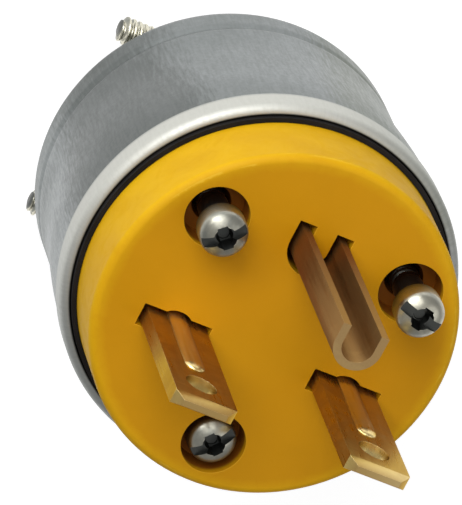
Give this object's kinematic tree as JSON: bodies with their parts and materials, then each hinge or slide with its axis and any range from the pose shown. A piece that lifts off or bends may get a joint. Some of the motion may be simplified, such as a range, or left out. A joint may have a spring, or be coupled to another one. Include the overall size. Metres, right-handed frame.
{
  "type": "three-pin power plug",
  "caption": "Steel-clad electrical plug with flat blades, a folded ground pin, a moulded front and a cord grip at the rear.",
  "frame": {"origin": "on the shell's axis, level with the lower edge of the cord grip, on which the plug stands", "axes": "+Z along the pins, away from the cord; +X along the line of the flat blades; +Y from the blades towards the ground pin"},
  "size_m": [0.0388, 0.0388, 0.0614],
  "materials": {
    "shell_steel": "plated, satin",
    "grip_steel": "plated, satin",
    "zinc_screw": "bright zinc",
    "yellow_nylon": "satin moulded nylon",
    "black_phenolic": "matt moulded",
    "black_fibre": "matt fibre",
    "brass": "rolled, slightly tarnished",
    "brass_screw": "bright",
    "green_screw": "green plated"
  },
  "bodies": {
    "root": {"steel_shell": "shell_steel", "insulating_liner": "black_fibre", "insulating_disc": "black_fibre", "front_body": "yellow_nylon", "rear_body": "black_phenolic", "ground_pin": "brass", "bonding_strip": "brass", "grip_saddle": "grip_steel", "grip_strap": "grip_steel", "blade_left": "brass", "blade_right": "brass", "assembly_screw_left": "zinc_screw", "assembly_screw_right": "zinc_screw", "assembly_screw_low": "zinc_screw", "shell_lug_left": "grip_steel", "shell_lug_right": "grip_steel", "shell_lug_low": "grip_steel", "terminal_screw_blade_left": "brass_screw", "terminal_screw_blade_right": "brass_screw", "terminal_screw_ground": "green_screw", "wire_clamp_blade_left": "brass", "wire_clamp_blade_right": "brass", "wire_clamp_ground": "brass", "grip_screw_upper": "zinc_screw", "grip_screw_lower": "zinc_screw", "foot_rivet_1": "zinc_screw", "foot_rivet_2": "zinc_screw"}
  },
  "joints": []
}
